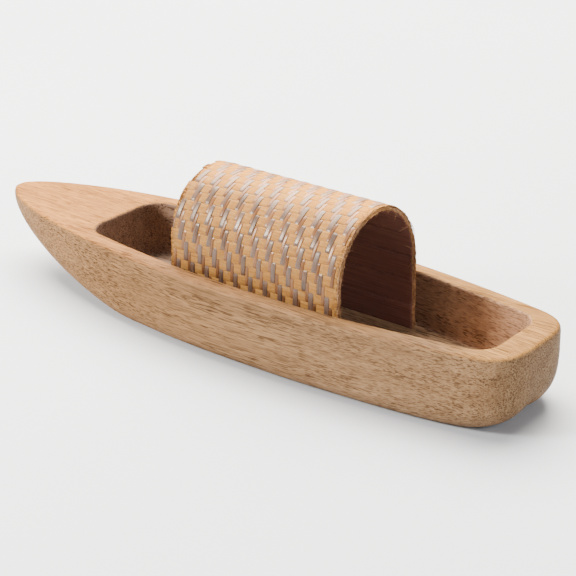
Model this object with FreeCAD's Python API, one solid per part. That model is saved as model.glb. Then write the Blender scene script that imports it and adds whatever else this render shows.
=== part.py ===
import FreeCAD, Part
import math
import os
from FreeCAD import Vector

# Boat-shaped incense burner: a hull carved from one block of wood, an arched canopy of
# woven bamboo over a slat lining that stands inside the hull, and the loose brass dish
# and heat mat that hold the burning incense under the canopy.
# Millimetres. Origin: centre of the flat base. +X towards the stern, +Z up.

# ---- hull -----------------------------------------------------------------------------
TIP_X = -126.5              # where the bow curves would meet, just ahead of the nose
STERN_X = 125.97            # transom
BEAM_X = 5.8                # station of the widest beam
HALF_BEAM = 32.4
HULL_HEIGHT = 29.5          # flat base to deck
BOW_FULLNESS = (1.7, 0.55)  # exponents of the bow's plan curve
STERN_TAPER = 8.0           # loss of half beam over 100 mm, aft of the widest station
STERN_TAPER_POWER = 2.1
STERN_CORNER = 18.0         # length over which the plan rounds into the transom
STERN_CORNER_POWER = 3.6
SKIN_DEPTH = 30.7           # depth of the rounded section before the base is planed flat
RAKE_X = -42.7              # forward of this station the keel sweeps up to the bow tip
RAKE_FULLNESS = (1.42, 0.71)
SECTION_POWER = 6.65        # squareness of the hull's section amidships
BOW_SECTION_POWER = 4.2
STERN_SECTION_POWER = 3.65  # at the middle of the transom
STERN_SOFTENING = 2.65      # how late the section softens on its way round the stern
CORNER_SOFTENING = 0.84     # extra roundness of the section under the transom's corners
CORNER_TURN = 0.74          # where on the way round the stern that corner is
CORNER_SPREAD = 0.16
KEEL_TURN_X = 60.8          # aft of this station the section lines fan round the transom
KEEL_END_X = 91.7
DECK_EDGE = 1.5             # rounding of the deck's outer edge
NOSE_ANGLE = 5.0            # start of the bow's cosine spacing, in degrees

# ---- cavity ---------------------------------------------------------------------------
CAVITY_DEPTH = 22.5
FLOOR_Z = HULL_HEIGHT - CAVITY_DEPTH
CAVITY_SIDE = [(-66.7, 18.2), (-45.0, 21.4), (-18.0, 24.2), (12.8, 25.6), (40.0, 25.0),
               (60.0, 24.0), (80.0, 21.3), (100.0, 18.4), (115.2, 16.2)]
CAVITY_FORE_CORNER = 9.0
CAVITY_AFT_CORNER = 9.0

# ---- canopy ---------------------------------------------------------------------------
CANOPY_FORE_X = -18.0
CANOPY_AFT_X = 59.2
ARCH_HALF_WIDTH = 23.3      # outside of the straight legs
ARCH_RISE = 25.6            # height of the elliptical crown over its springing line
SPRING_Z = HULL_HEIGHT + 6.6
HOOP_LAYER = (0.0, 0.44)    # depths below the outer surface
AXIAL_LAYER = (0.45, 0.94)
LINING_LAYER = (0.95, 2.05)
SLAT_COUNT = 14
AXIAL_COUNT = 35
AXIAL_PITCH = 3.85
FIRST_AXIAL_WIDTH = 3.2     # the strips are counted from the near foot, where one is cut narrow
HOOP_COUNT = 44
HOOP_PITCH = 1.706
FIRST_HOOP_X = -16.45       # middle of the first hoop, behind the bare ends of the axial strips
GREY_HOOP_WIDTH = 1.85
RED_HOOP_WIDTH = 1.4
AXIAL_GAP = 0.06
SLAT_GAP = 0.05

# ---- loose fittings under the canopy --------------------------------------------------
MAT_SIZE = (38.0, 30.0, 1.6)
MAT_CENTRE_X = 5.0
MAT_CORNER = 4.0
DISH_RADIUS = 12.5
DISH_HEIGHT = 4.5
DISH_WALL = 1.3
DISH_BASE = 1.4
BOSS_RADIUS = 3.4
BOSS_HEIGHT = 7.5
STICK_BORE_RADIUS = 1.25
STICK_BORE_DEPTH = 5.5


def squared_circle(angle, power):
    """The point at an angle on a unit superellipse: power 2 is a circle, and a high
    power is nearly a square."""
    c = abs(math.cos(angle))
    s = abs(math.sin(angle))
    radius = (c ** power + s ** power) ** (-1.0 / power)
    return radius * c, radius * s


def half_beam(x):
    """Half width of the deck at station x, before the transom's corners are rounded."""
    if x < BEAM_X:
        along = (BEAM_X - x) / (BEAM_X - TIP_X)
        return HALF_BEAM * (1 - along ** BOW_FULLNESS[0]) ** BOW_FULLNESS[1]
    return HALF_BEAM - STERN_TAPER * ((x - BEAM_X) / 100.0) ** STERN_TAPER_POWER


def deck_outline():
    """Points of one side of the deck's outline, from just behind the bow tip to the
    middle of the transom."""
    points = []
    bow_steps = 26
    for i in range(bow_steps):
        angle = math.radians(NOSE_ANGLE + (90.0 - NOSE_ANGLE) * i / (bow_steps - 1))
        x = BEAM_X - (BEAM_X - TIP_X) * math.cos(angle)
        points.append((x, half_beam(x)))
    side_steps = 12
    corner_x = STERN_X - STERN_CORNER
    for i in range(1, side_steps + 1):
        x = BEAM_X + (corner_x - BEAM_X) * i / side_steps
        points.append((x, half_beam(x)))
    corner_steps = 14
    for i in range(1, corner_steps + 1):
        taper, reach = squared_circle(math.radians(90.0 * i / corner_steps), STERN_CORNER_POWER)
        x = corner_x + STERN_CORNER * reach
        points.append((x, half_beam(x) * taper if i < corner_steps else 0.0))
    return points


def keel_stations(points):
    """The station on the keel line that each outline point's section runs down to, and
    how far round the stern it is (0 to 1)."""
    lengths = [0.0]
    for (x0, y0), (x1, y1) in zip(points, points[1:]):
        lengths.append(lengths[-1] + math.hypot(x1 - x0, y1 - y0))
    start = next(s for s, (x, y) in zip(lengths, points) if x > KEEL_TURN_X)
    start_x = next(x for x, y in points if x > KEEL_TURN_X)
    span = lengths[-1] - start
    reach = KEEL_END_X - start_x
    stations = []
    for s, (x, y) in zip(lengths, points):
        turn = max(0.0, (s - start) / span)
        fanned = start_x + reach * (1 - (1 - turn) ** (span / reach))
        stations.append((x if turn <= 0 else fanned, turn))
    return stations


def section_column(x, y, keel_x, turn):
    """Points of the hull's skin from the deck plane, round the deck's edge and down to
    the keel line, below the outline point (x, y)."""
    rake = min(max((RAKE_X - keel_x) / (RAKE_X - TIP_X), 0.0), 1.0)
    depth = SKIN_DEPTH * (1 - rake ** RAKE_FULLNESS[0]) ** RAKE_FULLNESS[1]
    power = SECTION_POWER
    power += (BOW_SECTION_POWER - SECTION_POWER) * rake
    power += (STERN_SECTION_POWER - SECTION_POWER) * turn ** STERN_SOFTENING
    power -= CORNER_SOFTENING * math.exp(-((turn - CORNER_TURN) / CORNER_SPREAD) ** 2)
    reach = math.hypot(x - keel_x, y)
    edge = min(DECK_EDGE, 0.4 * depth, 0.4 * reach)
    column = []
    edge_steps = 4
    for i in range(edge_steps):
        angle = math.radians(90.0 * i / edge_steps)
        inset = 1 - edge * (1 - math.sin(angle)) / reach
        drop = edge * (1 - math.cos(angle))
        column.append(Vector(keel_x + (x - keel_x) * inset, -y * inset, HULL_HEIGHT - drop))
    section_steps = 24
    for i in range(section_steps + 1):
        inset, fall = squared_circle(math.radians(90.0 * i / section_steps), power)
        inset = inset if i < section_steps else 0.0
        drop = edge + (depth - edge) * fall
        column.append(Vector(keel_x + (x - keel_x) * inset, -y * inset, HULL_HEIGHT - drop))
    return column


def chord_parameters(points):
    """Interpolation parameters from 0 to 1, spaced by the distance between points."""
    lengths = [0.0]
    for a, b in zip(points, points[1:]):
        lengths.append(lengths[-1] + a.distanceToPoint(b))
    return [s / lengths[-1] for s in lengths]


def curve_through(points, parameters):
    curve = Part.BSplineCurve()
    curve.interpolate(Points=points, Parameters=parameters)
    return curve


def surface_through(columns):
    """A smooth surface through a grid of points. Rows are interpolated first and then
    their poles, so a row that lies in a plane stays in it."""
    along = chord_parameters([column[0] for column in columns])
    down = chord_parameters(columns[len(columns) // 2])
    rows = [curve_through(list(row), along) for row in zip(*columns)]
    strips = [curve_through(list(poles), down) for poles in zip(*[r.getPoles() for r in rows])]
    surface = Part.BSplineSurface()
    surface.buildFromPolesMultsKnots([s.getPoles() for s in strips],
                                     rows[0].getMultiplicities(), strips[0].getMultiplicities(),
                                     rows[0].getKnots(), strips[0].getKnots(), False, False,
                                     rows[0].Degree, strips[0].Degree)
    return surface


def edge_where(face, test):
    """The boundary edge of a face whose every sample point passes the test."""
    for edge in face.Edges:
        if edge.Length < 1e-4:
            continue
        if all(test(p) for p in edge.discretize(7)):
            return edge
    raise ValueError("no such edge")


def hull_block():
    """The solid hull before the cavity: two mirrored side skins, the deck and the small
    face at the nose, planed flat at the base."""
    points = deck_outline()
    stations = keel_stations(points)
    columns = [section_column(x, y, k, t) for (x, y), (k, t) in zip(points, stations)]
    near = surface_through(columns).toShape()
    far = near.mirror(Vector(0, 0, 0), Vector(0, 1, 0))
    nose_x = points[0][0]
    deck_edges = [edge_where(s, lambda p: abs(p.z - HULL_HEIGHT) < 1e-3) for s in (near, far)]
    nose_edges = [edge_where(s, lambda p: abs(p.x - nose_x) < 1e-3) for s in (near, far)]
    nose_y = max(abs(v.Y) for v in deck_edges[0].Vertexes)
    nose_line = Part.makeLine(Vector(nose_x, -nose_y, HULL_HEIGHT), Vector(nose_x, nose_y, HULL_HEIGHT))
    deck = Part.Face(Part.Wire(Part.__sortEdges__(deck_edges + [nose_line])))
    nose = Part.Face(Part.Wire(Part.__sortEdges__(nose_edges + [nose_line])))
    shell = Part.makeShell([near, far, deck, nose])
    shell.sewShape()
    block = Part.makeSolid(shell)
    if block.Volume < 0:
        block.reverse()
    below = Part.makeBox(400, 200, 20, Vector(-200, -100, -20))
    return block.cut(below)


def cavity_tool():
    """The hollow inside the hull: curved sides, straight ends with rounded corners."""
    near = Part.BSplineCurve()
    near.interpolate([Vector(x, -y, FLOOR_Z) for x, y in CAVITY_SIDE])
    far = Part.BSplineCurve()
    far.interpolate([Vector(x, y, FLOOR_Z) for x, y in CAVITY_SIDE])
    ends = []
    for x, y in (CAVITY_SIDE[0], CAVITY_SIDE[-1]):
        ends.append(Part.makeLine(Vector(x, -y, FLOOR_Z), Vector(x, y, FLOOR_Z)))
    wire = Part.Wire(Part.__sortEdges__([near.toShape(), far.toShape()] + ends))
    tool = Part.Face(wire).extrude(Vector(0, 0, CAVITY_DEPTH + 10))
    for x, radius in ((CAVITY_SIDE[0][0], CAVITY_FORE_CORNER), (CAVITY_SIDE[-1][0], CAVITY_AFT_CORNER)):
        upright = []
        for edge in tool.Edges:
            ends_x = [v.X for v in edge.Vertexes]
            spread_z = abs(edge.Vertexes[0].Z - edge.Vertexes[-1].Z)
            if spread_z > CAVITY_DEPTH and all(abs(e - x) < 1e-3 for e in ends_x):
                upright.append(edge)
        tool = tool.makeFillet(radius, upright)
    return tool


def crown_point(depth, angle):
    """A point of the canopy's crown, at a depth below its outer surface. The angle runs
    from 0 at the near springing to 180 degrees at the far one."""
    across = -(ARCH_HALF_WIDTH - depth) * math.cos(angle)
    up = SPRING_Z + (ARCH_RISE - depth) * math.sin(angle)
    return Vector(CANOPY_FORE_X, across, up)


def arch_walk():
    """Arc length along the arch's outer surface against a place on it. A place is
    -height below the near springing, an angle on the crown, or pi + height down the
    far leg, with the legs scaled by their own height."""
    leg = SPRING_Z - FLOOR_Z
    steps = 720
    walk = [(0.0, -1.0), (leg, 0.0)]
    last = crown_point(0.0, 0.0)
    for i in range(1, steps + 1):
        angle = math.pi * i / steps
        point = crown_point(0.0, angle)
        walk.append((walk[-1][0] + point.distanceToPoint(last), angle))
        last = point
    walk.append((walk[-1][0] + leg, math.pi + 1.0))
    return walk


ARCH = arch_walk()
ARCH_LENGTH = ARCH[-1][0]


def arch_point(length, depth):
    """The point at an arc length along the arch and a depth below its outer surface."""
    for (s0, a0), (s1, a1) in zip(ARCH, ARCH[1:]):
        if length <= s1:
            place = a0 + (a1 - a0) * (length - s0) / (s1 - s0)
            break
    leg = SPRING_Z - FLOOR_Z
    if place <= 0:
        return Vector(CANOPY_FORE_X, -(ARCH_HALF_WIDTH - depth), SPRING_Z + leg * place)
    if place >= math.pi:
        return Vector(CANOPY_FORE_X, ARCH_HALF_WIDTH - depth, SPRING_Z - leg * (place - math.pi))
    return crown_point(depth, place)


def run_edges(start, end, depth):
    """Edges along the arch at one depth: lines on the legs, arcs on the crown."""
    leg = SPRING_Z - FLOOR_Z
    breaks = [s for s in (leg, ARCH_LENGTH - leg) if start < s < end]
    stops = [start] + breaks + [end]
    edges = []
    for a, b in zip(stops, stops[1:]):
        p0 = arch_point(a, depth)
        p1 = arch_point(b, depth)
        straight = b <= leg + 1e-6 or a >= ARCH_LENGTH - leg - 1e-6
        if straight:
            edges.append(Part.makeLine(p0, p1))
        else:
            edges.append(Part.Arc(p0, arch_point((a + b) / 2, depth), p1).toShape())
    return edges


def axial_strip(start, end, layer):
    """A strip that runs the canopy's whole length, between two arc lengths."""
    outer = run_edges(start, end, layer[0])
    inner = run_edges(start, end, layer[1])
    sides = [Part.makeLine(arch_point(s, layer[0]), arch_point(s, layer[1])) for s in (start, end)]
    wire = Part.Wire(Part.__sortEdges__(outer + inner + sides))
    return Part.Face(wire).extrude(Vector(CANOPY_AFT_X - CANOPY_FORE_X, 0, 0))


def crown_edge(depth):
    """The half ellipse of the crown at one depth, from the near to the far springing."""
    ellipse = Part.Ellipse(Vector(CANOPY_FORE_X, 0, SPRING_Z + ARCH_RISE - depth),
                           Vector(CANOPY_FORE_X, ARCH_HALF_WIDTH - depth, SPRING_Z),
                           Vector(CANOPY_FORE_X, 0, SPRING_Z))
    return Part.ArcOfEllipse(ellipse, -math.pi / 2, math.pi / 2).toShape()


def hoop_strip(x, width):
    """A narrow strip over the arch, from the near foot to the far foot."""
    edges = []
    feet = []
    for depth in HOOP_LAYER:
        half = ARCH_HALF_WIDTH - depth
        edges.append(crown_edge(depth))
        for side in (-half, half):
            top = Vector(CANOPY_FORE_X, side, SPRING_Z)
            foot = Vector(CANOPY_FORE_X, side, FLOOR_Z)
            edges.append(Part.makeLine(foot, top))
            feet.append(foot)
    edges.append(Part.makeLine(feet[0], feet[2]))
    edges.append(Part.makeLine(feet[1], feet[3]))
    face = Part.Face(Part.Wire(Part.__sortEdges__(edges)))
    strip = face.extrude(Vector(width, 0, 0))
    strip.translate(Vector(x - CANOPY_FORE_X, 0, 0))
    return strip


def heat_mat():
    """Thin fibre mat on the hull's floor, with rounded corners."""
    length, width, thick = MAT_SIZE
    mat = Part.makeBox(length, width, thick, Vector(MAT_CENTRE_X - length / 2, -width / 2, FLOOR_Z))
    upright = [e for e in mat.Edges if abs(e.Vertexes[0].Z - e.Vertexes[-1].Z) > thick / 2]
    return mat.makeFillet(MAT_CORNER, upright)


def incense_dish():
    """Turned dish with a raised boss; a bore in the boss holds an incense stick."""
    base_z = FLOOR_Z + MAT_SIZE[2]
    rim = DISH_RADIUS - DISH_WALL / 2
    outline = [(0, 0), (DISH_RADIUS - 2.0, 0), (DISH_RADIUS, DISH_HEIGHT - 0.6),
               (rim, DISH_HEIGHT), (DISH_RADIUS - DISH_WALL, DISH_HEIGHT - 0.6),
               (DISH_RADIUS - 2.0 - DISH_WALL, DISH_BASE), (BOSS_RADIUS + 0.8, DISH_BASE),
               (BOSS_RADIUS, DISH_BASE + 1.0), (BOSS_RADIUS, BOSS_HEIGHT - 0.5),
               (BOSS_RADIUS - 0.5, BOSS_HEIGHT), (0, BOSS_HEIGHT), (0, 0)]
    wire = Part.makePolygon([Vector(r, 0, z) for r, z in outline])
    dish = Part.Face(wire).revolve(Vector(0, 0, 0), Vector(0, 0, 1), 360)
    bore = Part.makeCylinder(STICK_BORE_RADIUS, STICK_BORE_DEPTH + 1,
                             Vector(0, 0, BOSS_HEIGHT - STICK_BORE_DEPTH))
    dish = dish.cut(bore)
    dish.translate(Vector(MAT_CENTRE_X, 0, base_z))
    return dish


def save(shape, node):
    """Write one node and report its size."""
    shape.exportStep("parts/%s.step" % node)
    box = shape.optimalBoundingBox()
    print("%-22s %9.1f mm3  %s  x %.2f..%.2f y %.2f..%.2f z %.2f..%.2f"
          % (node, shape.Volume, shape.isValid(), box.XMin, box.XMax, box.YMin, box.YMax,
             box.ZMin, box.ZMax))


def build():
    os.makedirs("parts", exist_ok=True)
    save(hull_block().cut(cavity_tool()), "hull")
    save(heat_mat(), "heat_mat")
    save(incense_dish(), "incense_dish")
    slat_pitch = ARCH_LENGTH / SLAT_COUNT
    for i in range(SLAT_COUNT):
        start = i * slat_pitch + (SLAT_GAP / 2 if i else 0)
        end = (i + 1) * slat_pitch - (SLAT_GAP / 2 if i < SLAT_COUNT - 1 else 0)
        save(axial_strip(start, end, LINING_LAYER), "lining_slat_%02d" % (i + 1))
    seams = [FIRST_AXIAL_WIDTH + i * AXIAL_PITCH for i in range(AXIAL_COUNT - 1)]
    starts = [0.0] + [s + AXIAL_GAP / 2 for s in seams]
    ends = [s - AXIAL_GAP / 2 for s in seams] + [ARCH_LENGTH]
    for i, (start, end) in enumerate(zip(starts, ends)):
        save(axial_strip(start, end, AXIAL_LAYER), "straw_strip_%02d" % (i + 1))
    hoop_kinds = [("grey_hoop_strips", GREY_HOOP_WIDTH), ("red_hoop_strips", RED_HOOP_WIDTH)]
    for first, (name, width) in enumerate(hoop_kinds):
        strips = []
        for i in range(first, HOOP_COUNT, len(hoop_kinds)):
            strips.append(hoop_strip(FIRST_HOOP_X + i * HOOP_PITCH - width / 2, width))
        save(Part.makeCompound(strips), name)


build()
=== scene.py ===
import math

import bmesh
import bpy
import numpy as np
from mathutils import Matrix, Vector, noise


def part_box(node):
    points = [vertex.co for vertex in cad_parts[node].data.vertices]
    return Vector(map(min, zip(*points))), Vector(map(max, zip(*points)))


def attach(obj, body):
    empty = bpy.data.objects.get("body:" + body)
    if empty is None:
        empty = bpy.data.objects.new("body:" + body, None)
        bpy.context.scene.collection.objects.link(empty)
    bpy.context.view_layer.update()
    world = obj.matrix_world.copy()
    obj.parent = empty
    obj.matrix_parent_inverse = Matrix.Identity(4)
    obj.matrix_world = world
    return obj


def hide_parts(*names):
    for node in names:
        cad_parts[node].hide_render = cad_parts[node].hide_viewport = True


# A boat-shaped incense burner: a carved wooden hull, a lift-off canopy of bamboo woven over
# a slat lining, and the brass dish and fibre mat that hold the incense under the canopy.
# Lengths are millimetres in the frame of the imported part, and MM makes them metres. Inside the
# materials and for the lights, and where a comment says so, they are metres.

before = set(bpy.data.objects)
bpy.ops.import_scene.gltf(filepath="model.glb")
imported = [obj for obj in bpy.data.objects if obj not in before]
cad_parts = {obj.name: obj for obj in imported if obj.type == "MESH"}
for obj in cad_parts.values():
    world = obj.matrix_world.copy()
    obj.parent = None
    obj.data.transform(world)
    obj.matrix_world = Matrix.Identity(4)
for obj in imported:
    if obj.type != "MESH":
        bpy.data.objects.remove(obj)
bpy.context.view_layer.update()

MM = 0.001
SEED = 7

# ---- hull -----------------------------------------------------------------------------
VOXEL = 0.62                # size of the hull mesh's faces
EDGE_SOFTENING = 8          # smoothing passes that break the hull's sharp edges
HAND_WORK = 0.12            # unevenness left by sanding
HAND_WORK_SIZE = 16.0       # size of that unevenness
HOLLOW_ENDS = (-60.0, 105.0)    # stations between which the hollow's middle line runs

# ---- tints, each of which multiplies a colour -----------------------------------------
FLOOR_LIGHT_TINT = (1.35, 1.42, 1.55)        # painted light from the floor, lightening the bottom of the hull
CANOPY_SHADOW_TINT = (0.55, 0.61, 1.0)         # painted shadow of the canopy on the near gunwale beside it
END_GRAIN_AND_SHADE = (0.93, 0.97, 1.0)        # the end grain of the stern: partly its own tone, partly painted shade on this face
STRAW_CROWN_LIGHT = (1.57, 1.45, 1.02)   # painted light on the straw strips of the canopy's crown
HOOP_CROWN_LIGHT = (2.3, 1.95, 1.35)     # painted light on the hoop strips of the crown
CROWN = (0.0570, 0.0622)            # heights in metres between which painted light makes the canopy paler

# ---- looks of the surfaces ------------------------------------------------------------
# The wood's sides and tops each have a fore tint, an aft tint, and the two stations in metres
# between which one turns into the other.
# Painted light: the tops' tints colour the deck and other up-facing faces as lit faces, apart from
# the sides.
HULL_LOOK = dict(
    light=(0.270, 0.150, 0.067), dark=(0.165, 0.085, 0.036), pore=(0.062, 0.030, 0.013),
    pore_size=1.0, roughness=0.5, outside=True,
    sides=((0.91, 0.89, 0.84), (1.07, 1.17, 1.34), (-0.055, 0.105)),
    tops=((1.29, 1.00, 0.52), (1.05, 0.94, 0.56), (-0.055, 0.105)))
# Painted light and shade in the hollow: the side tints keep the walls beside the canopy dark, as
# in its shade, and brighten the aft walls as lit; the tops' tints recolour the floor as lit
# directly.
HOLLOW_LOOK = dict(
    light=(0.298, 0.178, 0.118), dark=(0.190, 0.106, 0.069), pore=(0.062, 0.032, 0.020),
    pore_size=1.25, roughness=0.62, outside=False,
    sides=((0.85, 0.90, 0.94), (1.50, 1.49, 1.34), (0.060, 0.100)),
    tops=((1.02, 1.16, 1.26), (1.12, 1.18, 1.02), (-0.02, 0.02)))
# light, dark, fleck
STRAW_LOOK = ((0.315, 0.154, 0.043), (0.235, 0.107, 0.028), (0.285, 0.175, 0.067))
RAW_EDGE_LOOK = ((0.42, 0.24, 0.125), (0.20, 0.105, 0.052), (0.40, 0.24, 0.14))
# light, dark, roughness
GREY_LOOK = ((0.098, 0.070, 0.062), (0.052, 0.036, 0.031), 0.21)
RED_LOOK = ((0.172, 0.075, 0.031), (0.088, 0.035, 0.014), 0.22)

# ---- canopy ---------------------------------------------------------------------------
SPRING_Z = 36.1             # where the straight legs turn into the half-elliptical crown
STRAW_FIRST = 3.2           # width of the straw strip at the near foot
STRAW_PITCH = 3.85          # arc length from one straw strip to the next
STRAW_COUNT = 35
STRAW_GAP = 0.03            # open seam between two straw strips
STRAW_THICK = 0.32
STRAW_DEPTH = 0.45          # middle of the straw layer below the canopy's outer surface
STRAW_WAVE = 0.07           # how far a straw strip bends over and under the hoops
STRAW_SKEW = 0.048          # the strips climb this much per mm towards the stern
HOOP_COUNT = 44
HOOP_PITCH = 1.706          # distance from one hoop to the next, grey and red in turn
HOOP_FIRST_X = -16.45       # station of the first hoop
HOOP_LEVEL = 36.0           # arc length at which the hoops stand at their own station
HOOP_LEAN = (0.12, 0.06)    # sideways drift per mm of arc, at the fore and aft rims
HOOP_REACH = 30.0           # arc length over which the drift fades
HOOP_THICK = 0.19
HOOP_WAVE = 0.21            # how far a hoop bends over and under the straw
HOOP_HALF = (1.08, 0.76)    # half widths of the grey and red strips
HOOP_SINK = (-0.03, 0.03)   # the grey strips lie a little proud of the red ones
HOOP_STEEPNESS = 5.0        # how sharply a hoop dives between two straw strips
FRAYED = 3.0                # length over which the straw ends crumble
# index of each straw strip that is burnt at the fore rim, and the length of the burn
SCORCHED = {12: 1.6, 13: 2.2, 15: 1.4, 16: 1.0, 17: 2.6}
SCORCH = 6.0                # how much more a burnt end darkens than a frayed one
FOOT_SHADE = 3.0            # height over the deck in which painted shade darkens the hoops
FOOT_SHADE_STRENGTH = 0.3            # how strongly
SHORTEST_RUN = 12           # a stretch of hoop with fewer stations than this is left out
RIM_BARE = 0.35             # least distance from a hoop to a rim
SLAT_COUNT = 14
SLAT_SEAM = 0.06            # open seam between two slats of the lining
LINING = (0.95, 2.05)       # depths of the lining's two faces
LOOSE_FIBRES = 9            # long fibres that hang into the arch at each rim
SHORT_FIBRES = 520          # broken fibres that stand out of the cut at each rim
STRAND_SIDES = 5            # corners of a fibre's section
GLUE_LINE = 0.95            # depth of the dark line between the weave and the lining

# ---- unevenness of the canopy's pieces: the size of a feature, and how far it goes -----
STRAW_EDGES = (9.0, 0.035)
STRAW_FACE = (7.0, 0.012)
HOOP_COURSE = (11.0, 0.06)
HOOP_EDGES = (13.0, 0.03)
HOOP_FACE = (6.0, 0.012)
SLAT_EDGES = (12.0, 0.04)
SLAT_FACE = (15.0, 0.02)
STRAND_COURSE = (1.9, 0.13)
STRAND_DEPTH = (2.6, 0.14)


# =======================================================================================
# Helpers
# =======================================================================================
def evaluated_mesh(obj):
    """The object's mesh with its modifiers applied."""
    bpy.context.view_layer.update()
    graph = bpy.context.evaluated_depsgraph_get()
    return bpy.data.meshes.new_from_object(obj.evaluated_get(graph))


def add_object(name, mesh, materials):
    """A new smooth-shaded object in the scene."""
    obj = bpy.data.objects.new(name, mesh)
    bpy.context.scene.collection.objects.link(obj)
    mesh.materials.clear()
    for material in materials:
        mesh.materials.append(material)
    mesh.polygons.foreach_set("use_smooth", [True] * len(mesh.polygons))
    return obj


def mesh_from(name, points, faces):
    """A mesh from points in millimetres."""
    mesh = bpy.data.meshes.new(name)
    mesh.from_pydata((np.asarray(points) * MM).tolist(), [], faces)
    mesh.validate()
    return mesh


def tube_faces(stations, ring, first=0):
    """Faces of a closed sweep: a band of quads and a cap at each end."""
    faces = []
    for i in range(stations - 1):
        a = first + i * ring
        b = a + ring
        for k in range(ring):
            n = (k + 1) % ring
            faces.append((a + k, a + n, b + n, b + k))
    last = first + (stations - 1) * ring
    faces.append(tuple(first + k for k in reversed(range(ring))))
    faces.append(tuple(last + k for k in range(ring)))
    return faces


def join_sweeps(name, sweeps):
    """One mesh of several closed sweeps, each an array of stations x ring x 3."""
    points = []
    faces = []
    first = 0
    for sweep in sweeps:
        stations, ring = sweep.shape[:2]
        points.append(sweep.reshape(-1, 3))
        faces += tube_faces(stations, ring, first)
        first += stations * ring
    mesh = mesh_from(name, np.concatenate(points), faces)
    fix_normals(mesh)
    return mesh


def fix_normals(mesh):
    """Turn every face outward."""
    work = bmesh.new()
    work.from_mesh(mesh)
    bmesh.ops.recalc_face_normals(work, faces=work.faces)
    work.to_mesh(mesh)
    work.free()


def store(mesh, name, values):
    """A number on every vertex, for a material to read."""
    layer = mesh.attributes.new(name, "FLOAT", "POINT")
    layer.data.foreach_set("value", np.asarray(values, float))


def wander(rng, positions, size, amount):
    """Smooth random offsets along a line, with features of one size."""
    low, high = positions.min() - 2 * size, positions.max() + 2 * size
    knots = np.arange(low, high + size, size)
    values = rng.normal(0.0, amount, len(knots))
    t = (positions - knots[0]) / size
    i = np.clip(np.floor(t).astype(int), 0, len(knots) - 2)
    f = t - i
    f = f * f * (3 - 2 * f)
    return values[i] * (1 - f) + values[i + 1] * f


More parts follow.
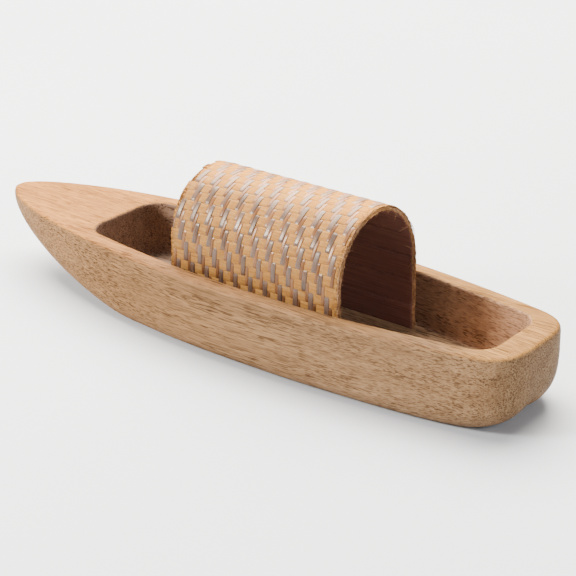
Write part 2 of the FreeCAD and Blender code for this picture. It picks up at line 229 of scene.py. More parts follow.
# =======================================================================================
# Material building
# =======================================================================================
class Shader:
    """A material's node tree. Its methods take sockets or plain numbers and colours."""

    def __init__(self, name):
        self.material = bpy.data.materials.new(name)
        self.material.use_nodes = True
        self.tree = self.material.node_tree
        self.tree.nodes.clear()
        output = self.tree.nodes.new("ShaderNodeOutputMaterial")
        self.surface = self.tree.nodes.new("ShaderNodeBsdfPrincipled")
        self.tree.links.new(self.surface.outputs[0], output.inputs[0])

    def put(self, socket, value):
        """Link a socket to an input, or give the input a fixed value."""
        if isinstance(value, bpy.types.NodeSocket):
            self.tree.links.new(value, socket)
        elif isinstance(value, tuple) and len(value) == 3 and socket.type == "RGBA":
            socket.default_value = (*value, 1.0)
        else:
            socket.default_value = value

    def set(self, **values):
        """Set inputs of the surface shader; underscores stand for spaces."""
        for name, value in values.items():
            self.put(self.surface.inputs[name.replace("_", " ")], value)

    def place(self):
        """The point in the body's own frame, in metres."""
        return self.tree.nodes.new("ShaderNodeTexCoord").outputs["Object"]

    def axis(self, vector, name):
        """One axis of a vector."""
        node = self.tree.nodes.new("ShaderNodeSeparateXYZ")
        self.put(node.inputs[0], vector)
        return node.outputs[name]

    def facing(self, name):
        """How far the surface faces along one of the body's axes, from -1 to 1."""
        return self.axis(self.tree.nodes.new("ShaderNodeTexCoord").outputs["Normal"], name)

    def stretch(self, point, scale, offset=(0.0, 0.0, 0.0)):
        """The point scaled, and then moved."""
        node = self.tree.nodes.new("ShaderNodeMapping")
        self.put(node.inputs["Vector"], point)
        node.inputs["Scale"].default_value = scale
        node.inputs["Location"].default_value = offset
        return node.outputs[0]

    def noise(self, point, scale, detail, roughness, offset=0.0):
        """Smooth noise with so many features a metre along each axis."""
        node = self.tree.nodes.new("ShaderNodeTexNoise")
        self.put(node.inputs["Vector"], self.stretch(point, scale, (offset, offset, offset)))
        node.inputs["Scale"].default_value = 1.0
        node.inputs["Detail"].default_value = detail
        node.inputs["Roughness"].default_value = roughness
        return node.outputs[0]

    def ramp(self, value, low, high, to_low=0.0, to_high=1.0):
        """A smooth step from one value to another while the input goes from low to high."""
        node = self.tree.nodes.new("ShaderNodeMapRange")
        node.interpolation_type = "SMOOTHSTEP"
        for name, v in (("Value", value), ("From Min", low), ("From Max", high),
                        ("To Min", to_low), ("To Max", to_high)):
            self.put(node.inputs[name], v)
        return node.outputs[0]

    def math(self, operation, a, b=0.0):
        node = self.tree.nodes.new("ShaderNodeMath")
        node.operation = operation
        self.put(node.inputs[0], a)
        self.put(node.inputs[1], b)
        return node.outputs[0]

    def mix(self, factor, a, b, blend="MIX"):
        node = self.tree.nodes.new("ShaderNodeMix")
        node.data_type = "RGBA"
        node.blend_type = blend
        self.put(node.inputs["Factor"], factor)
        self.put(node.inputs[6], a)
        self.put(node.inputs[7], b)
        return node.outputs[2]

    def value(self, name):
        """A number stored on the mesh."""
        node = self.tree.nodes.new("ShaderNodeAttribute")
        node.attribute_name = name
        return node.outputs["Fac"]

    def bump(self, height, distance, strength):
        """A normal for the surface, from a height map and the distance that it stands for."""
        node = self.tree.nodes.new("ShaderNodeBump")
        node.inputs["Distance"].default_value = distance
        node.inputs["Strength"].default_value = strength
        self.put(node.inputs["Height"], height)
        return node.outputs[0]

    def lit_crown(self, colour, tint):
        """The colour, with painted light making it paler on the canopy's crown."""
        height = self.axis(self.place(), "Z")
        pale = self.mix(1.0, colour, tint, "MULTIPLY")
        return self.mix(self.ramp(height, *CROWN), colour, pale)

    def bent(self, point, size, amount):
        """The point moved a little by slow noise, so that grain does not run dead straight."""
        node = self.tree.nodes.new("ShaderNodeTexNoise")
        self.put(node.inputs["Vector"], self.stretch(point, size))
        node.inputs["Scale"].default_value = 1.0
        node.inputs["Detail"].default_value = 1.0
        shift = self.tree.nodes.new("ShaderNodeVectorMath")
        shift.operation = "MULTIPLY_ADD"
        self.put(shift.inputs[0], node.outputs["Color"])
        shift.inputs[1].default_value = (amount, amount, amount)
        self.put(shift.inputs[2], point)
        return shift.outputs[0]


def tint_along(s, along, tints):
    """The fore tint turning into the aft tint between two stations."""
    fore, aft, stations = tints
    return s.mix(s.ramp(along, *stations), fore, aft)


def canopy_shadow_mask(s, place):
    """Where the canopy's shadow is painted on the gunwale: on the near side, beside the canopy."""
    along = s.axis(place, "X")
    beside = s.math("SUBTRACT", s.ramp(along, -0.085, 0.002), s.ramp(along, 0.095, 0.122))
    return s.math("MULTIPLY", beside, s.ramp(s.axis(place, "Y"), 0.005, -0.015))


def hull_wood(name, light, dark, pore, pore_size, sides, tops, roughness, outside):
    """Open-pored hardwood. The grain runs fore and aft through the whole block, so pores are
    dashes on the sides and dots on the stern and the cheeks of the bow. Outside, the stern's end
    grain has a tint partly its own and partly painted shade, and the canopy's shadow is painted on
    the near gunwale. Painted light brightens the bottom of the block and tints the tops."""
    s = Shader(name)
    place = s.place()
    along = s.axis(place, "X")
    at = s.bent(place, (9.0, 22.0, 22.0), 0.0018)
    near = s.stretch(at, (1.0 / pore_size,) * 3)
    figure = s.noise(at, (8.0, 120.0, 120.0), 3.0, 0.55)
    bands = s.noise(at, (16.0, 760.0, 760.0), 3.0, 0.65, 3.0)
    fibre = s.noise(at, (60.0, 3600.0, 3600.0), 2.0, 0.6, 5.0)
    quilt = s.noise(at, (120.0, 620.0, 620.0), 2.0, 0.6, 21.0)
    pores = s.ramp(s.noise(near, (160.0, 2750.0, 2750.0), 1.0, 0.4, 9.0), 0.56, 0.66)
    long_pores = s.ramp(s.noise(near, (62.0, 2250.0, 2250.0), 1.0, 0.5, 13.0), 0.57, 0.67)
    crowding = s.ramp(s.noise(at, (22.0, 170.0, 170.0), 2.0, 0.5, 17.0), 0.34, 0.66, 0.55, 1.0)
    on_top = s.ramp(s.facing("Z"), 0.35, 0.97)
    tone = s.math("ADD", s.ramp(figure, 0.32, 0.68, 0.0, 0.5), s.ramp(bands, 0.3, 0.7, 0.0, 0.5))
    colour = s.mix(tone, light, dark)
    # Painted light: the bottom of the hull is lightened in streaks, standing in for light bounced
    # up from the floor.
    low_down = s.ramp(s.axis(place, "Z"), 0.015, 0.002)
    floor_light = s.math("MULTIPLY", low_down, s.ramp(figure, 0.35, 0.6, 0.35, 0.8))
    colour = s.mix(floor_light, colour, s.mix(1.0, colour, FLOOR_LIGHT_TINT, "MULTIPLY"))
    colour = s.mix(s.ramp(fibre, 0.35, 0.7, 0.0, 0.4), colour, pore)
    mottle = s.math("MULTIPLY", s.ramp(quilt, 0.5, 0.74), s.ramp(on_top, 0.0, 1.0, 0.22, 0.38))
    colour = s.mix(mottle, colour, pore)
    open_pore = s.math("MAXIMUM", pores, s.math("MULTIPLY", long_pores, 0.85))
    open_pore = s.math("MULTIPLY", open_pore, crowding)
    open_pore = s.math("MULTIPLY", open_pore, s.ramp(on_top, 0.0, 1.0, 0.95, 0.9))
    colour = s.mix(open_pore, colour, pore)
    # Painted light and shade: the tops take their own tint as lit faces, and the tints turn from
    # fore to aft.
    tint = s.mix(on_top, tint_along(s, along, sides), tint_along(s, along, tops))
    colour = s.mix(1.0, colour, tint, "MULTIPLY")
    if outside:
        speckle = s.ramp(s.noise(at, (300.0, 1500.0, 1500.0), 3.0, 0.7, 31.0), 0.46, 0.62)
        # The stern's face takes a tint that is partly the end grain's own tone and partly painted
        # shade.
        sawn = s.mix(1.0, colour, END_GRAIN_AND_SHADE, "MULTIPLY")
        sawn = s.mix(s.math("MULTIPLY", speckle, 0.85), sawn, pore)
        colour = s.mix(s.ramp(s.facing("X"), 0.55, 0.95), colour, sawn)
        # Painted shadow of the canopy, darkening the top of the near gunwale beside it.
        worn = s.math("MULTIPLY", on_top, canopy_shadow_mask(s, place))
        colour = s.mix(worn, colour, s.mix(1.0, colour, CANOPY_SHADOW_TINT, "MULTIPLY"))
    rough = s.ramp(s.math("ADD", fibre, open_pore), 0.3, 1.4, roughness, roughness + 0.28)
    s.set(Base_Color=colour, Specular_IOR_Level=0.04, Roughness=rough)
    relief = s.math("SUBTRACT", s.math("MULTIPLY", fibre, 0.25), open_pore)
    s.set(Normal=s.bump(relief, 0.00012, 0.75))
    return s.material


def straw_material(name, light, dark, fleck):
    """Dry split bamboo: matte straw colour with fine fibres along the strip, a tone of its own
    for each strip, smears of leftover skin, and crumbling ends."""
    fibre_brown = (0.11, 0.048, 0.015)
    crack_brown = (0.12, 0.052, 0.016)
    frayed_brown = (0.09, 0.036, 0.012)
    s = Shader(name)
    at = s.bent(s.place(), (60.0, 60.0, 60.0), 0.0006)
    own = s.value("tone")
    fibre = s.noise(at, (170.0, 5200.0, 5200.0), 2.0, 0.6, 2.0)
    coarse = s.noise(at, (60.0, 1500.0, 1500.0), 2.0, 0.5, 4.0)
    patch = s.noise(at, (280.0, 520.0, 520.0), 3.0, 0.6, 8.0)
    crackle = s.noise(at, (420.0, 2600.0, 2600.0), 3.0, 0.65, 16.0)
    crumbs = s.noise(at, (1300.0, 1300.0, 1300.0), 3.0, 0.6, 24.0)
    frayed = s.math("MULTIPLY", s.value("frayed"), s.ramp(crumbs, 0.46, 0.6))
    colour = s.mix(s.ramp(coarse, 0.3, 0.7), light, dark)
    colour = s.mix(s.ramp(own, 0.0, 1.0, 0.0, 0.5), colour, dark)
    colour = s.mix(s.ramp(patch, 0.48, 0.72, 0.0, 0.55), colour, fleck)
    colour = s.mix(s.ramp(fibre, 0.5, 0.76, 0.0, 0.5), colour, fibre_brown)
    colour = s.mix(s.ramp(crackle, 0.5, 0.72, 0.0, 0.5), colour, crack_brown)
    colour = s.mix(s.math("MULTIPLY", frayed, 0.75), colour, frayed_brown)
    # The crown is painted paler with light from above.
    s.set(Base_Color=s.lit_crown(colour, STRAW_CROWN_LIGHT), Specular_IOR_Level=0.02,
          Roughness=s.ramp(fibre, 0.3, 0.7, 0.5, 0.7))
    relief = s.math("SUBTRACT", s.math("ADD", fibre, crackle), s.math("MULTIPLY", frayed, 2.0))
    s.set(Normal=s.bump(relief, 0.00012, 0.8))
    return s.material


def hoop_material(name, light, dark, roughness):
    """Dyed bamboo skin: glossy, with the dye worn thin in streaks along the strip."""
    bare_brown = (0.20, 0.09, 0.034)
    shade_brown = (0.035, 0.014, 0.007)
    s = Shader(name)
    at = s.place()
    own = s.value("tone")
    streak = s.noise(at, (3600.0, 260.0, 260.0), 2.0, 0.55, 6.0)
    cloud = s.noise(at, (220.0, 140.0, 140.0), 2.0, 0.5, 12.0)
    colour = s.mix(s.ramp(own, 0.0, 1.0), light, dark)
    colour = s.mix(s.ramp(streak, 0.40, 0.68, 0.0, 0.55), colour, bare_brown)
    colour = s.mix(s.ramp(cloud, 0.35, 0.7, 0.0, 0.5), colour, dark)
    # Painted shade darkens the hoops just above the deck.
    colour = s.mix(s.value("foot"), colour, shade_brown)
    # The crown is painted paler with light from above.
    s.set(Base_Color=s.lit_crown(colour, HOOP_CROWN_LIGHT),
          Specular_IOR_Level=0.22, Specular_Tint=(1.0, 0.86, 0.74),
          Roughness=s.ramp(s.math("ADD", streak, cloud), 0.7, 1.3, roughness, roughness + 0.15))
    s.set(Normal=s.bump(streak, 0.00005, 0.6))
    return s.material


def lining_material():
    """Slats stained dark red-brown, smooth, with the grain just showing through."""
    stain_light = (0.172, 0.084, 0.070)
    stain_dark = (0.125, 0.058, 0.049)
    deep_stain = (0.095, 0.039, 0.029)
    smoked = (0.10, 0.045, 0.035)
    s = Shader("lining_bamboo")
    at = s.bent(s.place(), (20.0, 60.0, 60.0), 0.0012)
    own = s.value("tone")
    grain = s.noise(at, (40.0, 2400.0, 2400.0), 3.0, 0.6)
    smoke = s.noise(at, (25.0, 45.0, 45.0), 3.0, 0.5, 7.0)
    colour = s.mix(s.ramp(grain, 0.3, 0.72), stain_light, stain_dark)
    colour = s.mix(s.ramp(own, 0.0, 1.0, 0.0, 0.25), colour, deep_stain)
    colour = s.mix(s.ramp(smoke, 0.45, 0.75, 0.0, 0.35), colour, smoked)
    s.set(Base_Color=colour, Specular_IOR_Level=0.15, Roughness=s.ramp(grain, 0.3, 0.7, 0.42, 0.6))
    s.set(Normal=s.bump(grain, 0.00006, 0.6))
    return s.material


def brass_material():
    """Turned brass with fine tool marks and clouds of tarnish."""
    bright = (0.72, 0.47, 0.17)
    dull = (0.30, 0.17, 0.07)
    s = Shader("brass")
    at = s.place()
    tarnish = s.noise(at, (160.0, 160.0, 160.0), 4.0, 0.6)
    fine = s.noise(at, (900.0, 900.0, 3500.0), 2.0, 0.5, 3.0)
    colour = s.mix(s.ramp(tarnish, 0.4, 0.7), bright, dull)
    s.set(Base_Color=colour, Metallic=1.0, Roughness=s.ramp(tarnish, 0.35, 0.75, 0.26, 0.55))
    s.set(Normal=s.bump(fine, 0.00003, 0.5))
    return s.material


def mat_material():
    """Felted mineral fibre: off-white, matted, with a faint brown heat mark."""
    felt_dark = (0.24, 0.21, 0.17)
    felt_light = (0.42, 0.39, 0.33)
    singed = (0.20, 0.13, 0.075)
    s = Shader("fibre_mat")
    at = s.bent(s.place(), (400.0, 400.0, 400.0), 0.0016)
    fluff = s.noise(at, (900.0, 2600.0, 2600.0), 3.0, 0.65)
    across = s.noise(at, (2600.0, 900.0, 2600.0), 3.0, 0.65, 4.0)
    mark = s.noise(at, (55.0, 55.0, 55.0), 3.0, 0.5, 9.0)
    felt = s.math("MAXIMUM", fluff, across)
    colour = s.mix(s.ramp(felt, 0.45, 0.75), felt_dark, felt_light)
    colour = s.mix(s.ramp(mark, 0.5, 0.75, 0.0, 0.5), colour, singed)
    s.set(Base_Color=colour, Specular_IOR_Level=0.1, Sheen_Weight=0.2,
          Roughness=s.ramp(felt, 0.4, 0.7, 0.85, 1.0))
    s.set(Normal=s.bump(felt, 0.00025, 0.9))
    return s.material


def paper_material():
    """The pale paper that the burner stands on."""
    light = (0.50, 0.525, 0.58)
    shade = (0.475, 0.50, 0.555)
    s = Shader("paper_floor")
    at = s.place()
    tooth = s.noise(at, (900.0, 900.0, 900.0), 2.0, 0.5)
    cloud = s.noise(at, (5.0, 5.0, 5.0), 2.0, 0.5, 3.0)
    colour = s.mix(s.ramp(cloud, 0.3, 0.7), light, shade)
    s.set(Base_Color=colour, Specular_IOR_Level=0.1, Roughness=s.ramp(tooth, 0.3, 0.7, 0.85, 0.95))
    s.set(Normal=s.bump(tooth, 0.00005, 0.3))
    return s.material


# =======================================================================================
# Hull
# =======================================================================================
def make_hull(materials):
    """The hull remeshed evenly, its sharp edges broken and its faces left slightly uneven, as
    a hand-sanded block is."""
    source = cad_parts["hull"]
    mesh = source.data.copy()
    work = bmesh.new()
    work.from_mesh(mesh)
    bmesh.ops.remove_doubles(work, verts=work.verts, dist=2e-6)
    work.to_mesh(mesh)
    work.free()
    raw = add_object("hull_raw", mesh, materials[:1])
    remesh = raw.modifiers.new("even_mesh", "REMESH")
    remesh.mode = "VOXEL"
    remesh.voxel_size = VOXEL * MM
    soften = raw.modifiers.new("broken_edges", "SMOOTH")
    soften.factor = 0.5
    soften.iterations = EDGE_SOFTENING
    even = evaluated_mesh(raw)
    bpy.data.objects.remove(raw)
    hull = add_object("carved_hull", even, materials)
    sand_surface(even)
    paint_hollow(even)
    return hull


def sand_surface(mesh):
    """Move each vertex along its normal by slow smooth noise. The base stays flat."""
    points = np.zeros(len(mesh.vertices) * 3, np.float32)
    normals = np.zeros(len(mesh.vertices) * 3, np.float32)
    mesh.vertices.foreach_get("co", points)
    mesh.vertex_normals.foreach_get("vector", normals)
    points = points.reshape(-1, 3)
    normals = normals.reshape(-1, 3)
    scale = 1.0 / (HAND_WORK_SIZE * MM)
    stretched = points * np.array([scale * 0.5, scale, scale])
    lift = np.array([noise.noise(Vector(p)) for p in stretched.tolist()])
    off_base = np.clip(points[:, 2] / (2.0 * MM), 0.0, 1.0)
    points += normals * (lift * HAND_WORK * MM * off_base)[:, None]
    mesh.vertices.foreach_set("co", points.reshape(-1))
    mesh.update()


def paint_hollow(mesh):
    """The faces inside the hull take the second material."""
    deck_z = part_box("hull")[1].z
    floor_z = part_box("heat_mat")[0].z
    centres = np.zeros(len(mesh.polygons) * 3, np.float32)
    normals = np.zeros(len(mesh.polygons) * 3, np.float32)
    mesh.polygons.foreach_get("center", centres)
    mesh.polygons.foreach_get("normal", normals)
    centres = centres.reshape(-1, 3)
    normals = normals.reshape(-1, 3)
    fore, aft = [x * MM for x in HOLLOW_ENDS]
    middle = np.array([np.clip(centres[:, 0], fore, aft), np.zeros(len(centres))]).T
    inward = ((middle - centres[:, :2]) * normals[:, :2]).sum(1) > 0
    floor = (normals[:, 2] > 0.5) & (centres[:, 2] < floor_z + 1.5 * MM)
    inside = inward | floor
    # The rounded edge of the deck stays with the outside wood.
    inside &= (centres[:, 2] > floor_z - 1.0 * MM) & (centres[:, 2] < deck_z - 0.35 * MM)
    mesh.polygons.foreach_set("material_index", inside.astype(np.int32))


# =======================================================================================
# Canopy
# =======================================================================================
class Arch:
    """The canopy's section: straight legs and a half-elliptical crown. Places on it are an arc
    length from the near foot and a depth below the outer surface."""

    def __init__(self):
        low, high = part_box("grey_hoop_strips")
        self.half = high.y / MM
        self.rise = high.z / MM - SPRING_Z
        self.foot = low.z / MM
        self.leg = SPRING_Z - self.foot
        self.angles = np.linspace(0.0, math.pi, 1441)
        across = -self.half * np.cos(self.angles)
        up = self.rise * np.sin(self.angles)
        steps = np.hypot(np.diff(across), np.diff(up))
        self.crown = np.concatenate([[0.0], np.cumsum(steps)])
        self.length = 2 * self.leg + self.crown[-1]
        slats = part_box("lining_slat_01")
        self.fore = slats[0].x / MM
        self.aft = slats[1].x / MM

    def at(self, x, s, depth):
        """Points at station x, arc length s and a depth, as an array of x, y, z."""
        x, s, depth = np.broadcast_arrays(x, s, depth)
        angle = np.interp(s - self.leg, self.crown, self.angles)
        y = -(self.half - depth) * np.cos(angle)
        z = SPRING_Z + (self.rise - depth) * np.sin(angle)
        z = np.where(s < self.leg, SPRING_Z - (self.leg - s), z)
        beyond = s - (self.length - self.leg)
        z = np.where(beyond > 0, SPRING_Z - beyond, z)
        return np.stack([x, y, z], -1)


def straw_seam(index, x):
    """Arc length of the lower edge of a straw strip at station x. The strips are laid a little
    askew, and the first and last are cut off level at the feet."""
    if index <= 0:
        return np.zeros_like(x)
    if index >= STRAW_COUNT:
        return np.full_like(x, arch.length)
    middle = (arch.fore + arch.aft) / 2
    return STRAW_FIRST + (index - 1) * STRAW_PITCH + STRAW_SKEW * (x - middle)


def hoop_drift(x, s):
    """How far a hoop that belongs at station x has leaned over at arc length s."""
    along = np.clip((x - arch.fore) / (arch.aft - arch.fore), 0.0, 1.0)
    lean = HOOP_LEAN[0] + (HOOP_LEAN[1] - HOOP_LEAN[0]) * along
    return lean * HOOP_REACH * np.tanh((s - HOOP_LEVEL) / HOOP_REACH)


def over(phase):
    """1 where a hoop lies over the straw and -1 where it lies under: two over, two under."""
    return np.cos(2 * math.pi * (phase - 0.5) / 4)


def straw_section():
    """Across positions and heights of a split strip's section: a low crown, rounded edges."""
    top = [(-1.0, -0.25), (-0.99, 0.32), (-0.94, 0.45), (-0.5, 0.49), (0.0, 0.5),
           (0.5, 0.49), (0.94, 0.45), (0.99, 0.32), (1.0, -0.25)]
    return np.array(top + [(0.93, -0.5), (0.0, -0.5), (-0.93, -0.5)])


def hoop_section():
    """The same for a narrower strip of bamboo skin, which is rounder on top."""
    top = [(-1.0, -0.2), (-0.9, 0.25), (-0.5, 0.44), (0.0, 0.5),
           (0.5, 0.44), (0.9, 0.25), (1.0, -0.2)]
    return np.array(top + [(0.85, -0.5), (-0.85, -0.5)])


def make_straw(index, material, rng):
    """One straw strip along the canopy, bending over and under the hoops. Some are broken off
    short of the fore rim."""
    broken = rng.uniform(0.8, 2.0) if rng.random() < 0.4 else 0.0
    ends = (arch.fore + rng.uniform(-0.25, 0.3) + broken, arch.aft + rng.uniform(-0.3, 0.3))
    x = np.linspace(ends[0], ends[1], int((ends[1] - ends[0]) / (HOOP_PITCH / 6)) + 1)
    low = straw_seam(index, x) + STRAW_GAP / 2 + wander(rng, x, *STRAW_EDGES)
    high = straw_seam(index + 1, x) - STRAW_GAP / 2 + wander(rng, x, *STRAW_EDGES)
    high = np.maximum(high, low + 0.12)
    middle = (low + high) / 2
    hoop = (x - hoop_drift(x, middle) - HOOP_FIRST_X) / HOOP_PITCH
    weave = np.clip(1.3 * over(index + hoop + 1), -1, 1)
    inside = (hoop > -0.7) & (hoop < HOOP_COUNT - 0.3)
    depth = STRAW_DEPTH + STRAW_WAVE * np.where(inside, weave, 0.0) + wander(rng, x, *STRAW_FACE)
    section = straw_section()
    s = middle[:, None] + section[None, :, 0] * ((high - low) / 2)[:, None]
    d = depth[:, None] - section[None, :, 1] * STRAW_THICK
    d = d + 0.02 * (section[None, :, 0] ** 2)
    x = x[:, None] + np.zeros_like(s)
    ragged = rng.uniform(-0.12, 0.12, s.shape[1])
    x[0] += ragged
    x[-1] += ragged[::-1]
    sweep = arch.at(x, s, d)
    name = "straw_ribbon_%02d" % (index + 1)
    mesh = join_sweeps(name, [sweep])
    store(mesh, "tone", np.full(len(mesh.vertices), rng.uniform(0.0, 1.0)))
    out = np.abs(sweep[..., 0] - (arch.fore + arch.aft) / 2) - (arch.aft - arch.fore) / 2
    frayed = np.clip(1.0 + out / FRAYED, 0.0, 1.0)
    burnt = SCORCHED.get(index, 0.01)
    scorched = SCORCH * np.clip(1.0 - (sweep[..., 0] - ends[0]) / burnt, 0.0, 1.0)
    store(mesh, "frayed", np.maximum(frayed, scorched).reshape(-1))
    piece = add_object(name, mesh, [material])
    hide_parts("straw_strip_%02d" % (index + 1))
    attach(piece, "canopy")


def hoop_runs(index, half, sink, rng):
    """The stretches of a hoop that lie between the rims, each a closed sweep."""
    home = HOOP_FIRST_X + index * HOOP_PITCH + rng.normal(0, 0.05)
    s = np.linspace(0.0, arch.length, int(arch.length / (STRAW_PITCH / 9)) + 1)
    x = home + hoop_drift(home, s) + wander(rng, s, *HOOP_COURSE)
    width = half * (1 + rng.normal(0, 0.03)) + wander(rng, s, *HOOP_EDGES)
    middle = (arch.fore + arch.aft) / 2
    strip = (s - STRAW_FIRST - STRAW_SKEW * (x - middle)) / STRAW_PITCH + 0.5
    weave = np.tanh(HOOP_STEEPNESS * over(strip + index + 1))
    depth = STRAW_DEPTH + sink - HOOP_WAVE * weave + wander(rng, s, *HOOP_FACE)
    keep = (x - width > arch.fore + RIM_BARE) & (x + width < arch.aft - RIM_BARE)
    section = hoop_section()
    edges = np.flatnonzero(np.diff(np.concatenate([[0], keep.astype(int), [0]])))
    runs = []
    for a, b in zip(edges[::2], edges[1::2]):
        if b - a < SHORTEST_RUN:
            continue
        u = section[None, :, 0] * width[a:b, None]
        d = depth[a:b, None] - section[None, :, 1] * HOOP_THICK
        runs.append(arch.at(x[a:b, None] + u, s[a:b, None] + 0 * u, d))
    return runs


def make_hoops(name, first, material, node, rng):
    """Every second hoop of the weave, as one piece of one colour."""
    sweeps = []
    tones = []
    for index in range(first, HOOP_COUNT, 2):
        tone = rng.uniform(0.0, 1.0)
        for run in hoop_runs(index, HOOP_HALF[first], HOOP_SINK[first], rng):
            sweeps.append(run)
            tones.append(np.full(run.shape[0] * run.shape[1], tone))
    mesh = join_sweeps(name, sweeps)
    store(mesh, "tone", np.concatenate(tones))
    heights = np.concatenate([sweep[..., 2].reshape(-1) for sweep in sweeps])
    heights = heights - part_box("hull")[1].z / MM
    # Painted shade: how strongly each point of a hoop is darkened near the deck.
    store(mesh, "foot", FOOT_SHADE_STRENGTH * np.clip(1.0 - heights / FOOT_SHADE, 0.0, 1.0))
    piece = add_object(name, mesh, [material])
    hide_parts(node)
    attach(piece, "canopy")


def make_slat(index, materials, rng):
    """One stained slat of the lining, with broken edges and raw bamboo at its cut ends."""
    pitch = arch.length / SLAT_COUNT
    x = np.linspace(arch.fore + rng.uniform(-0.1, 0.15), arch.aft + rng.uniform(-0.15, 0.1), 60)
    low = np.full_like(x, index * pitch)
    high = np.full_like(x, (index + 1) * pitch)
    if index:
        low = low + SLAT_SEAM / 2 + wander(rng, x, *SLAT_EDGES)
    if index < SLAT_COUNT - 1:
        high = high - SLAT_SEAM / 2 + wander(rng, x, *SLAT_EDGES)
    u = np.array([-1.0, -0.97, -0.75, -0.5, -0.25, 0.0, 0.25, 0.5, 0.75, 0.97, 1.0])
    edge = np.array([0.09, 0.0, 0, 0, 0, 0, 0, 0, 0, 0.0, 0.09])
    outer = LINING[0] + edge
    inner = LINING[1] - edge - 0.04 * (1 - np.abs(u[::-1]))
    u = np.concatenate([u, u[::-1]])
    d = np.concatenate([outer, inner])
    s = ((low + high) / 2)[:, None] + u[None, :] * ((high - low) / 2)[:, None]
    d = d[None, :] + wander(rng, x, *SLAT_FACE)[:, None]
    name = "lining_board_%02d" % (index + 1)
    mesh = join_sweeps(name, [arch.at(x[:, None] + 0 * s, s, d)])
    store(mesh, "tone", np.full(len(mesh.vertices), rng.uniform(0.0, 1.0)))
    piece = add_object(name, mesh, materials)
    for face in mesh.polygons:
        if len(face.vertices) > 4:
            face.material_index = 1
            face.use_smooth = False
    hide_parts("lining_slat_%02d" % (index + 1))
    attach(piece, "canopy")


def strand(x, s, depth, radius):
    """A thin round fibre through places on the arch, with tapered ends."""
    centre = arch.at(x, s, depth)
    along = np.gradient(centre, axis=0)
    along /= np.linalg.norm(along, axis=1)[:, None] + 1e-12
    side = np.cross(along, [0.31, 0.17, 0.93])
    side /= np.linalg.norm(side, axis=1)[:, None] + 1e-12
    other = np.cross(along, side)
    order = np.arange(len(centre))
    size = radius * np.clip(np.minimum(order, order[::-1]) / 4.0 + 0.3, 0.0, 1.0)
    angles = (np.arange(STRAND_SIDES) * 2 * math.pi / STRAND_SIDES)[None, :, None]
    ring = np.cos(angles) * side[:, None, :] + np.sin(angles) * other[:, None, :]
    return centre[:, None, :] + ring * size[:, None, None]


class Fibres:
    """Fibres on their way into one mesh, each with a tone and an amount of dirt."""

    def __init__(self, rng):
        self.rng = rng
        self.sweeps = []
        self.tones = []
        self.dirt = []

    def add(self, sweep, dirt):
        points = sweep.shape[0] * STRAND_SIDES
        self.sweeps.append(sweep)
        self.tones.append(np.full(points, self.rng.uniform(0.0, 1.0)))
        self.dirt.append(np.full(points, dirt))


def add_ring_strands(fibres, rim_x, outward, first_depth, rng):
    """Strands that run round the arch between its layers. Between the weave and the lining
    they lie back from the cut, dark with old glue."""
    for depth in np.linspace(first_depth, 1.92, 10):
        start = rng.uniform(0.0, 2.0)
        glued = abs(depth - GLUE_LINE) < 0.15
        while start < arch.length - 3.0:
            end = min(start + rng.uniform(6.0, 30.0), arch.length - 0.2)
            s = np.arange(start, end, 0.5)
            if len(s) > 8:
                stand = rng.uniform(-0.2, 0.22) - 0.25 * glued + wander(rng, s, *STRAND_COURSE)
                d = depth + wander(rng, s, *STRAND_DEPTH)
                radius = rng.uniform(0.09, 0.2)
                sweep = strand(rim_x + outward * stand, s, np.clip(d, 0.12, 2.12), radius)
                fibres.add(sweep, 1.0 if glued else rng.uniform(0.0, 0.6))
            start = end + rng.uniform(0.2, 2.6)


def add_short_fibres(fibres, rim_x, outward, first_depth, rng):
    """Broken fibres that stand out of the cut."""
    for _ in range(SHORT_FIBRES):
        s0 = rng.uniform(1.0, arch.length - 1.0)
        reach = rng.uniform(0.4, 1.8)
        t = np.linspace(0.0, 1.0, 7)
        x = rim_x + outward * (-0.3 + reach * 0.45 * t * rng.uniform(0.0, 1.0))
        s = s0 + rng.choice([-1, 1]) * reach * t * rng.uniform(0.4, 1.8)
        d = rng.uniform(max(0.3, first_depth), 2.0) + rng.uniform(-0.3, 1.2) * reach * t ** 1.5
        sweep = strand(x, s, np.maximum(d, 0.1), rng.uniform(0.05, 0.13))
        fibres.add(sweep, rng.uniform(0.0, 1.0))


def add_loose_fibres(fibres, rim_x, outward, rng):
    """Long clean fibres that hang into the arch."""
    for _ in range(LOOSE_FIBRES):
        s0 = rng.uniform(0.25, 0.8) * arch.length
        length = rng.uniform(2.5, 6.5)
        t = np.linspace(0.0, 1.0, 14)
        x = rim_x - outward * rng.uniform(0.0, 2.0) * t
        s = s0 + rng.uniform(-1, 1) * length * t + rng.uniform(-0.5, 0.5) * np.sin(4 * t)
        d = 1.9 + length * rng.uniform(0.3, 0.9) * t ** 1.3
        fibres.add(strand(x, s, d, rng.uniform(0.05, 0.09)), 0.0)


def make_rim(name, rim_x, outward, first_depth, material, rng):
    """The cut edge of the canopy at a station. Outward is the way the rim faces along X, and
    the first depth is how far below the outer surface the outermost fibres lie."""
    fibres = Fibres(rng)
    add_ring_strands(fibres, rim_x, outward, first_depth, rng)
    add_short_fibres(fibres, rim_x, outward, first_depth, rng)
    add_loose_fibres(fibres, rim_x, outward, rng)
    mesh = join_sweeps(name, fibres.sweeps)
    store(mesh, "tone", np.concatenate(fibres.tones))
    store(mesh, "frayed", np.concatenate(fibres.dirt))
    piece = add_object(name, mesh, [material])
    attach(piece, "canopy")


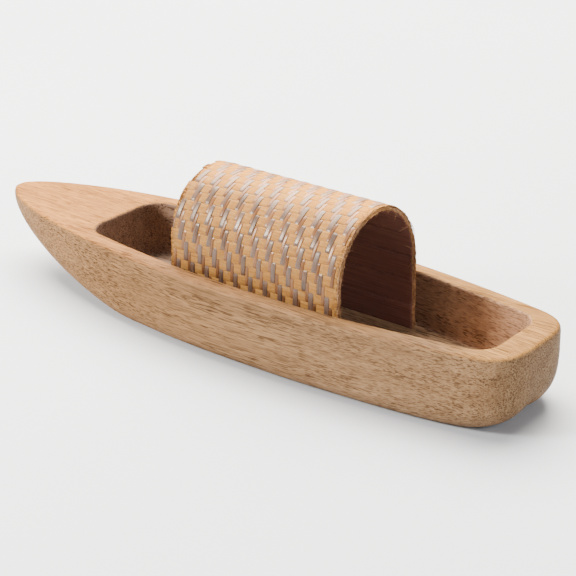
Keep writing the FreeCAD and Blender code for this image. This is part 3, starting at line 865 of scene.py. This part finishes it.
def make_canopy(straw, raw_edge, grey, red, lining):
    """The lining, the weave over it and the frayed rims."""
    rng = np.random.default_rng(SEED)
    for index in range(SLAT_COUNT):
        make_slat(index, [lining, raw_edge], rng)
    for index in range(STRAW_COUNT):
        make_straw(index, straw, rng)
    make_hoops("grey_hoops", 0, grey, "grey_hoop_strips", rng)
    make_hoops("red_hoops", 1, red, "red_hoop_strips", rng)
    make_rim("fore_rim_fibres", rim_x=arch.fore + 0.3, outward=-1.0, first_depth=0.8,
             material=raw_edge, rng=rng)
    make_rim("aft_rim_fibres", rim_x=arch.aft, outward=1.0, first_depth=0.2,
             material=raw_edge, rng=rng)


# =======================================================================================
# Dish and mat
# =======================================================================================
def make_mat(material):
    """The fibre mat: a thin felt with soft edges and a matted top."""
    low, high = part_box("heat_mat")
    centre = (low + high) / 2 / MM
    half = (high - low) / 2 / MM
    rng = np.random.default_rng(SEED + 1)
    count = 120             # points round the outline
    angle = np.arange(count) * 2 * math.pi / count
    power = 7.0             # how square the outline is: 2 would make it an ellipse
    radius = (np.abs(np.cos(angle)) ** power + np.abs(np.sin(angle)) ** power) ** (-1 / power)
    outline = np.stack([half.x * radius * np.cos(angle), half.y * radius * np.sin(angle)], -1)
    # share of the outline, and height from -1 at the bottom to 1 at the top
    levels = [(0.02, -1.0), (0.5, -1.0), (0.97, -1.0), (0.992, -0.7),
              (1.0, 0.0), (0.992, 0.6), (0.97, 0.92)]
    levels += [(f, 1.0) for f in np.linspace(0.93, 0.02, 16)]
    sweep = []
    for reach, level in levels:
        ring = outline * reach
        rough = rng.normal(0, 0.05, count) if level > 0.5 else np.zeros(count)
        z = centre.z + half.z * level + np.clip(rough, -0.1, 0.02)
        sweep.append(np.column_stack([centre.x + ring[:, 0], ring[:, 1], z]))
    mesh = join_sweeps("felted_mat", [np.array(sweep)])
    piece = add_object("felted_mat", mesh, [material])
    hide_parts("heat_mat")
    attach(piece, "hull")


def make_dish(material):
    """The dish, turned from its profile, with rounded lips and faint tool rings."""
    low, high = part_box("incense_dish")
    centre_x = (low.x + high.x) / 2 / MM
    r = (high.x - low.x) / 2 / MM       # radius of the lip
    base = low.z / MM
    top = (high.z - low.z) / MM         # height of the boss in the middle
    wall = 4.5                          # height of the lip
    profile = [(0.05, 0.0), (5.0, 0.0), (9.9, 0.0), (10.35, 0.12), (10.6, 0.4), (11.2, 1.6),
               (11.9, 3.0), (r - 0.12, wall - 0.75), (r, wall - 0.45), (r - 0.1, wall - 0.16),
               (r - 0.4, wall), (r - 0.75, wall), (r - 1.1, wall - 0.2), (r - 1.35, wall - 0.6),
               (10.4, 2.9), (9.6, 1.9), (9.0, 1.5), (8.2, 1.4), (7.0, 1.36), (6.0, 1.42),
               (5.0, 1.4), (4.4, 1.5), (3.9, 1.8), (3.5, 2.4), (3.4, 3.2), (3.42, 5.0),
               (3.38, top - 0.55), (3.2, top - 0.2), (2.8, top), (1.7, top), (1.4, top - 0.12),
               (1.27, top - 0.35), (1.25, top - 2.5), (1.25, top - 5.4), (1.1, top - 5.6),
               (0.05, top - 5.7)]
    count = 96              # points round the dish
    angle = np.arange(count) * 2 * math.pi / count
    rings = []
    for radius, z in profile:
        around = (centre_x + radius * np.cos(angle), radius * np.sin(angle))
        rings.append(np.column_stack([*around, np.full(count, base + z)]))
    mesh = join_sweeps("turned_dish", [np.array(rings)])
    piece = add_object("turned_dish", mesh, [material])
    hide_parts("incense_dish")
    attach(piece, "dish")


# =======================================================================================
# Setting
# =======================================================================================
CAMERA_TARGET = (18.34, 0.0, 20.24)
CAMERA_ANGLES = (39.83, 24.35, -1.32)   # azimuth, elevation and roll, in degrees
CAMERA_DISTANCE = 599.23
CAMERA_LENS = 101.73
WORLD_STRENGTH = 0.2
WHITE = (1.0, 1.0, 1.0)
WARM = (1.0, 0.93, 0.81)
CREAM = (1.0, 0.95, 0.86)
LIGHTS_AIM = (0.02, 0.0, 0.02)          # the point in metres that every softbox faces
# name, direction, distance, size, watts, colour
SOFTBOXES = [("top_softbox", (-0.42, 0.38, 1.0), 1.1, 1.2, 145.0, WARM),
             ("left_softbox", (-0.583, -0.675, 0.448), 0.9, 0.2, 19.5, CREAM),
             ("back_softbox", (-0.58, 0.70, 0.45), 1.2, 0.9, 4.0, WARM),
             ("aft_softbox", (0.85, -0.25, 0.45), 1.0, 0.5, 5.0, WHITE)]
FLOOR_SIZE = 3.0                        # half of the paper's side, in metres


def make_camera():
    """The camera at the viewing angle of the photograph."""
    azimuth, elevation, roll = [math.radians(v) for v in CAMERA_ANGLES]
    back = Vector((math.sin(azimuth) * math.cos(elevation),
                   -math.cos(azimuth) * math.cos(elevation), math.sin(elevation)))
    right = Vector((math.cos(azimuth), math.sin(azimuth), 0.0))
    up = back.cross(right)
    tilted_right = right * math.cos(roll) + up * math.sin(roll)
    tilted_up = up * math.cos(roll) - right * math.sin(roll)
    turn = Matrix((tilted_right, tilted_up, back)).transposed().to_4x4()
    place = (Vector(CAMERA_TARGET) + back * CAMERA_DISTANCE) * MM
    camera = bpy.data.objects.new("camera", bpy.data.cameras.new("camera"))
    camera.data.lens = CAMERA_LENS
    camera.data.sensor_width = 36.0
    camera.data.clip_start = 0.01
    camera.data.clip_end = 20.0
    camera.matrix_world = Matrix.Translation(place) @ turn
    bpy.context.scene.collection.objects.link(camera)
    bpy.context.scene.camera = camera


def add_softbox(name, direction, distance, size, power, colour):
    """A square soft light that faces the burner from a direction."""
    light = bpy.data.lights.new(name, "AREA")
    light.shape = "SQUARE"
    light.size = size
    light.energy = power
    light.color = colour
    obj = bpy.data.objects.new(name, light)
    toward = Vector(direction).normalized()
    obj.location = toward * distance + Vector(LIGHTS_AIM)
    obj.rotation_mode = "QUATERNION"
    obj.rotation_quaternion = toward.to_track_quat("Z", "Y")
    bpy.context.scene.collection.objects.link(obj)


def make_setting():
    """The even light of the studio, the softboxes and the floor."""
    world = bpy.data.worlds.new("studio")
    world.use_nodes = True
    background = world.node_tree.nodes["Background"]
    background.inputs["Color"].default_value = (*WARM, 1.0)
    background.inputs["Strength"].default_value = WORLD_STRENGTH
    bpy.context.scene.world = world
    for softbox in SOFTBOXES:
        add_softbox(*softbox)
    work = bmesh.new()
    bmesh.ops.create_grid(work, x_segments=8, y_segments=8, size=FLOOR_SIZE)
    mesh = bpy.data.meshes.new("floor")
    work.to_mesh(mesh)
    work.free()
    floor = add_object("floor", mesh, [paper_material()])


# =======================================================================================
arch = Arch()
make_camera()
make_setting()
wood = hull_wood("hull_wood", **HULL_LOOK)
hollow = hull_wood("hull_wood_hollow", **HOLLOW_LOOK)
carved = make_hull([wood, hollow])
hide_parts("hull")
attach(carved, "hull")
straw = straw_material("straw_bamboo", *STRAW_LOOK)
raw_edge = straw_material("raw_bamboo", *RAW_EDGE_LOOK)
grey = hoop_material("grey_bamboo", *GREY_LOOK)
red = hoop_material("red_bamboo", *RED_LOOK)
make_canopy(straw, raw_edge, grey, red, lining_material())
make_mat(mat_material())
make_dish(brass_material())

bpy.context.view_layer.update()
